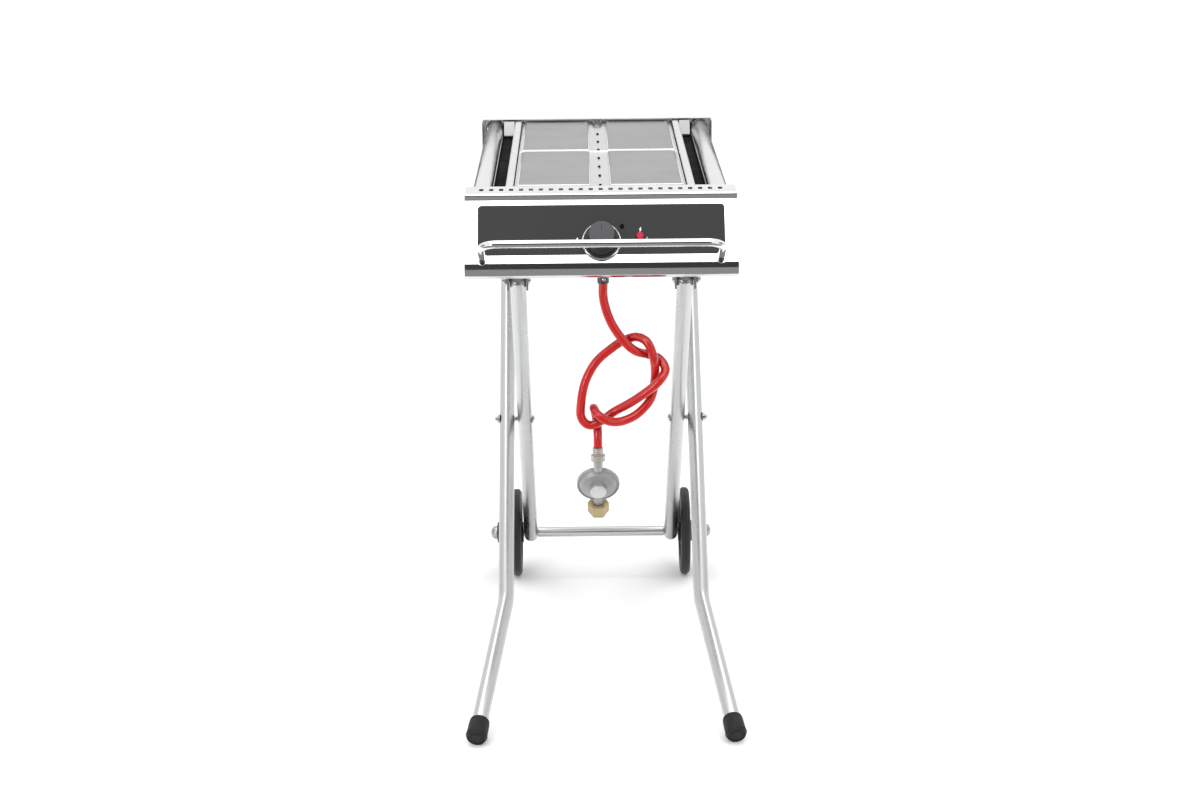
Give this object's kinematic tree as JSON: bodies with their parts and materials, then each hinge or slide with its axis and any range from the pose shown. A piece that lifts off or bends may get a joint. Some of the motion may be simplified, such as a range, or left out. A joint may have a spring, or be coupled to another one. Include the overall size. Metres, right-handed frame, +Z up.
{
  "type": "gas grill on folding stand",
  "caption": "Portable gas grill: a shallow steel burner head on a folding crossed-leg stand with wheels, handle, hose and regulator.",
  "frame": {"origin": "on the floor under the middle of the object's box, without the hose and regulator", "axes": "+Z up, -Y towards the cook, X across, and X = 0 is the plane of symmetry"},
  "size_m": [0.4296, 0.912, 0.823],
  "materials": {
    "steel_sheet": "mirror polished stainless sheet",
    "polished_tube": "polished stainless tube",
    "fittings": "plain steel",
    "radiant_plates": "satin grey",
    "dark_pan": "satin black",
    "fascia_grey": "satin dark grey",
    "knob_black": "satin",
    "red_button": "gloss",
    "ceramic": "matt",
    "brass": "machined",
    "tyre_black": "satin",
    "rubber_black": "matt",
    "zinc_casting": "cast and nickelled",
    "red_hose": "gloss"
  },
  "bodies": {
    "head": {"console_shell": "steel_sheet", "console_cheek_left": "steel_sheet", "console_cheek_right": "steel_sheet", "rear_plate": "steel_sheet", "side_wall_left": "steel_sheet", "side_wall_right": "steel_sheet", "cassette_rail_left": "steel_sheet", "cassette_rail_right": "steel_sheet", "burner_deck": "steel_sheet", "side_rail_left": "polished_tube", "side_rail_right": "polished_tube", "front_handle": "polished_tube", "knob_bezel": "fittings", "rear_clip": "fittings", "handle_nut_left": "fittings", "handle_nut_right": "fittings", "hinge_bolt_left": "fittings", "hinge_bolt_right": "fittings", "front_bracket_left": "fittings", "front_bracket_right": "fittings", "rear_saddle_left": "fittings", "rear_saddle_right": "fittings", "burner_tube_left": "fittings", "burner_tube_right": "fittings", "radiant_plate_front_left": "radiant_plates", "radiant_plate_front_right": "radiant_plates", "radiant_plate_rear_left": "radiant_plates", "radiant_plate_rear_right": "radiant_plates", "floor_pan": "dark_pan", "control_fascia": "fascia_grey", "piezo_igniter": "ceramic", "ignition_electrode": "ceramic", "gas_valve": "brass", "gas_manifold": "brass", "injector_left": "brass", "injector_right": "brass", "inlet_elbow": "zinc_casting", "hose_union": "zinc_casting", "regulator": "zinc_casting", "gas_hose": "red_hose"},
    "wheel_legs": {"wheel_leg_left": "polished_tube", "wheel_leg_right": "polished_tube", "axle_tube": "polished_tube", "axle_rod": "polished_tube", "hub_cap_left": "fittings", "hub_cap_right": "fittings"},
    "foot_legs": {"foot_leg_left": "polished_tube", "foot_leg_right": "polished_tube", "foot_cap_left": "rubber_black", "foot_cap_right": "rubber_black", "top_cross_tube": "polished_tube", "pivot_bolt_left": "fittings", "pivot_bolt_right": "fittings"},
    "wheel_left_spin": {"wheel_left": "tyre_black"},
    "wheel_right_spin": {"wheel_right": "tyre_black"},
    "stem": {"valve_stem": "brass"},
    "knob_turning": {"knob": "knob_black"},
    "button": {"piezo_button": "red_button"},
    "nut": {"cylinder_nut": "brass"}
  },
  "joints": [
    {"name": "stand_fold", "type": "hinge", "parent": "head", "child": "wheel_legs", "pos_m": [0, -0.25, 0.683], "axis": [1, 0, 0], "range_deg": [0, 36]},
    {"name": "scissor", "type": "hinge", "parent": "wheel_legs", "child": "foot_legs", "pos_m": [0, 0.046, 0.379], "axis": [1, 0, 0], "range_deg": [-72, 0]},
    {"name": "left_wheel", "type": "hinge", "parent": "wheel_legs", "child": "wheel_left_spin", "pos_m": [0, 0.3371, 0.08], "axis": [1, 0, 0], "continuous": true},
    {"name": "right_wheel", "type": "hinge", "parent": "wheel_legs", "child": "wheel_right_spin", "pos_m": [0, 0.3371, 0.08], "axis": [1, 0, 0], "continuous": true},
    {"name": "knob_push", "type": "slide", "parent": "head", "child": "stem", "axis": [0, 0.8559, -0.5171], "range_m": [0, 0.0035], "stiffness_N_per_m": 800, "springref_m": -0.002},
    {"name": "knob_turn", "type": "hinge", "parent": "stem", "child": "knob_turning", "pos_m": [0, -0.3136, 0.7558], "axis": [0, -0.8559, 0.5171], "range_deg": [0, 180]},
    {"name": "ignition_push", "type": "slide", "parent": "head", "child": "button", "axis": [0, 0.8559, -0.5171], "range_m": [0, 0.0035], "stiffness_N_per_m": 600, "springref_m": -0.002},
    {"name": "cylinder_nut_spin", "type": "hinge", "parent": "head", "child": "nut", "pos_m": [-0.008, -0.27, 0.33], "axis": [0, 0.454, -0.891], "continuous": true}
  ],
  "couplings": [
    {"joint": "scissor", "follows": "stand_fold", "ratio": -2}
  ]
}
